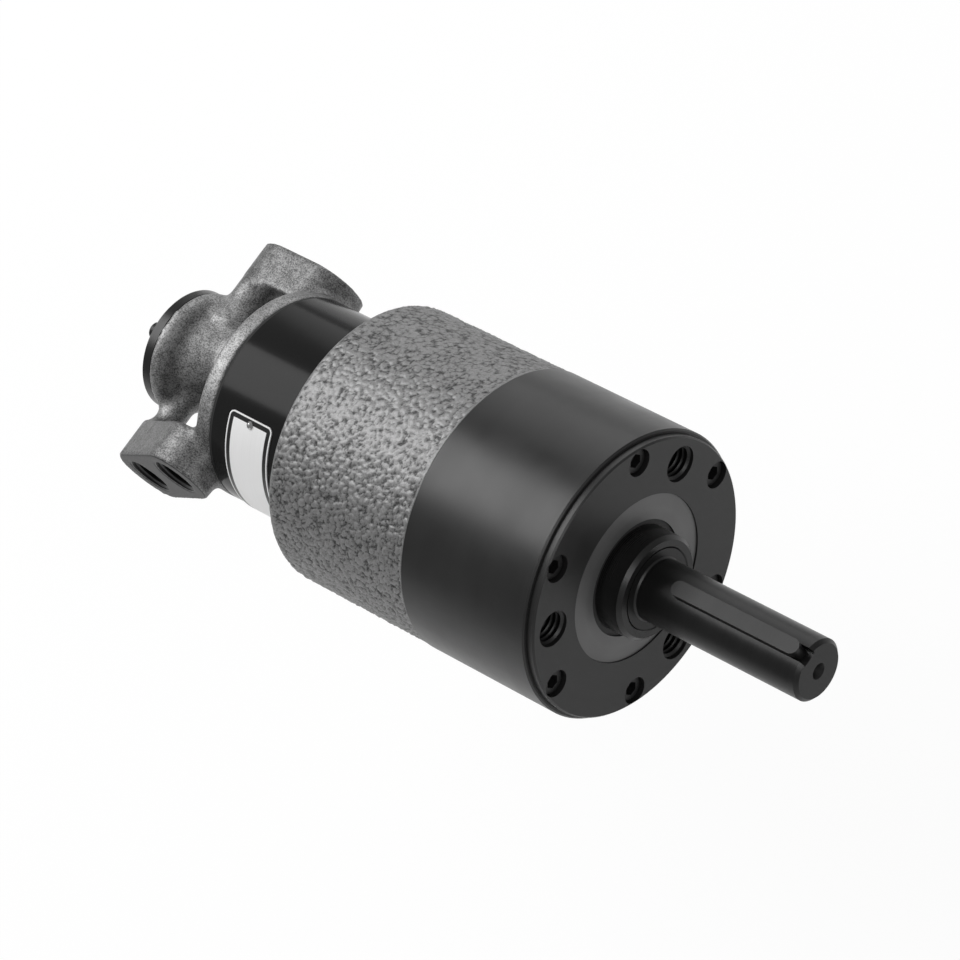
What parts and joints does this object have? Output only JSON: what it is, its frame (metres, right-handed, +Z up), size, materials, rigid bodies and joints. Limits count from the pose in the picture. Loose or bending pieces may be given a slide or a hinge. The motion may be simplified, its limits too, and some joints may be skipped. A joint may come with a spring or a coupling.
{
  "type": "axial piston air motor",
  "caption": "Face-mounted axial piston air motor with a planetary gear head, a keyed output shaft and a rear port casting with threaded port bosses.",
  "frame": {"origin": "centre of the front mounting face, on the shaft axis", "axes": "+X out along the output shaft, port bosses on -Y and +Y, +Z up"},
  "size_m": [0.2532, 0.0888, 0.0888],
  "materials": {
    "case_black": "satin black oxide on turned steel",
    "block_black": "gloss black enamel",
    "cast_alloy": "as-cast aluminium, hammered or sand-cast skin",
    "ring_steel": "turned steel",
    "shaft_steel": "dark ground steel",
    "gear_steel": "hardened gear steel",
    "screw_steel": "black oxide screws",
    "bright_steel": "polished bearing steel",
    "bush_bronze": "sintered bronze",
    "seal_rubber": "black nitrile rubber",
    "gasket_sheet": "dark fibre gasket",
    "plate_alloy": "plain blank plate"
  },
  "bodies": {
    "housing": {"gear_case": "case_black", "front_cover": "case_black", "case_screws": "screw_steel", "retainer_ring": "ring_steel", "shaft_seal": "seal_rubber", "bearing_outer_ring": "bright_steel", "ring_gear": "gear_steel", "bearing_plate": "ring_steel", "crank_front_bush": "bush_bronze", "motor_housing": "cast_alloy", "cylinder_block": "block_black", "crank_rear_bush": "bush_bronze", "block_nut": "ring_steel", "block_gasket": "gasket_sheet", "nameplate": "plate_alloy", "drive_screws": "bright_steel", "port_housing": "cast_alloy", "port_screws": "screw_steel", "rear_cover": "case_black", "rear_cover_screws": "screw_steel"},
    "output": {"output_shaft": "shaft_steel", "shaft_key": "shaft_steel", "collar": "case_black", "bearing_inner_ring": "bright_steel", "pilot_bush": "bush_bronze", "carrier_plate": "ring_steel", "carrier_screws": "screw_steel", "planet_pins": "gear_steel"},
    "ball_set": {"bearing_cage": "bush_bronze", "bearing_balls": "bright_steel"},
    "crank": {"crankshaft": "shaft_steel", "sun_gear": "gear_steel", "journal_ring": "shaft_steel", "valve_spool": "gear_steel"},
    "wobble": {"wobble_plate": "shaft_steel", "wobble_bush": "bush_bronze"},
    "planet_1": {"planet_gear_1": "gear_steel", "planet_bush_1": "bush_bronze"},
    "planet_2": {"planet_gear_2": "gear_steel", "planet_bush_2": "bush_bronze"},
    "planet_3": {"planet_gear_3": "gear_steel", "planet_bush_3": "bush_bronze"},
    "piston_set_1": {"piston_1": "ring_steel", "piston_rings_1": "bush_bronze", "piston_rod_1": "gear_steel"},
    "piston_set_2": {"piston_2": "ring_steel", "piston_rings_2": "bush_bronze", "piston_rod_2": "gear_steel"},
    "piston_set_3": {"piston_3": "ring_steel", "piston_rings_3": "bush_bronze", "piston_rod_3": "gear_steel"},
    "piston_set_4": {"piston_4": "ring_steel", "piston_rings_4": "bush_bronze", "piston_rod_4": "gear_steel"},
    "piston_set_5": {"piston_5": "ring_steel", "piston_rings_5": "bush_bronze", "piston_rod_5": "gear_steel"}
  },
  "joints": [
    {"name": "output_spin", "type": "hinge", "parent": "housing", "child": "output", "pos_m": [0, 0, 0], "axis": [1, 0, 0], "continuous": true},
    {"name": "crank_spin", "type": "hinge", "parent": "housing", "child": "crank", "pos_m": [-0.05, 0, 0], "axis": [1, 0, 0], "continuous": true},
    {"name": "ball_set_spin", "type": "hinge", "parent": "housing", "child": "ball_set", "pos_m": [-0.0109, 0, 0], "axis": [1, 0, 0], "continuous": true},
    {"name": "wobble_turn", "type": "hinge", "parent": "crank", "child": "wobble", "pos_m": [-0.074, 0, 0], "axis": [0.9781, 0, 0.2079], "continuous": true},
    {"name": "planet_spin_1", "type": "hinge", "parent": "output", "child": "planet_1", "pos_m": [-0.0335, 0.02025, 0], "axis": [1, 0, 0], "continuous": true},
    {"name": "planet_spin_2", "type": "hinge", "parent": "output", "child": "planet_2", "pos_m": [-0.0335, -0.01013, 0.01754], "axis": [1, 0, 0], "continuous": true},
    {"name": "planet_spin_3", "type": "hinge", "parent": "output", "child": "planet_3", "pos_m": [-0.0335, -0.01013, -0.01754], "axis": [1, 0, 0], "continuous": true},
    {"name": "piston_slide_1", "type": "slide", "parent": "housing", "child": "piston_set_1", "axis": [1, 0, 0], "range_m": [-0.00287, 0.00544]},
    {"name": "piston_slide_2", "type": "slide", "parent": "housing", "child": "piston_set_2", "axis": [1, 0, 0], "range_m": [0, 0.00832]},
    {"name": "piston_slide_3", "type": "slide", "parent": "housing", "child": "piston_set_3", "axis": [1, 0, 0], "range_m": [-0.00287, 0.00544]},
    {"name": "piston_slide_4", "type": "slide", "parent": "housing", "child": "piston_set_4", "axis": [1, 0, 0], "range_m": [-0.00752, 0.00079]},
    {"name": "piston_slide_5", "type": "slide", "parent": "housing", "child": "piston_set_5", "axis": [1, 0, 0], "range_m": [-0.00752, 0.00079]}
  ],
  "couplings": [
    {"joint": "crank_spin", "follows": "output_spin", "ratio": 3.8571},
    {"joint": "wobble_turn", "follows": "output_spin", "ratio": -3.8571},
    {"joint": "ball_set_spin", "follows": "output_spin", "ratio": 0.39688},
    {"joint": "planet_spin_1", "follows": "output_spin", "ratio": -3.0769},
    {"joint": "planet_spin_2", "follows": "output_spin", "ratio": -3.0769},
    {"joint": "planet_spin_3", "follows": "output_spin", "ratio": -3.0769}
  ]
}
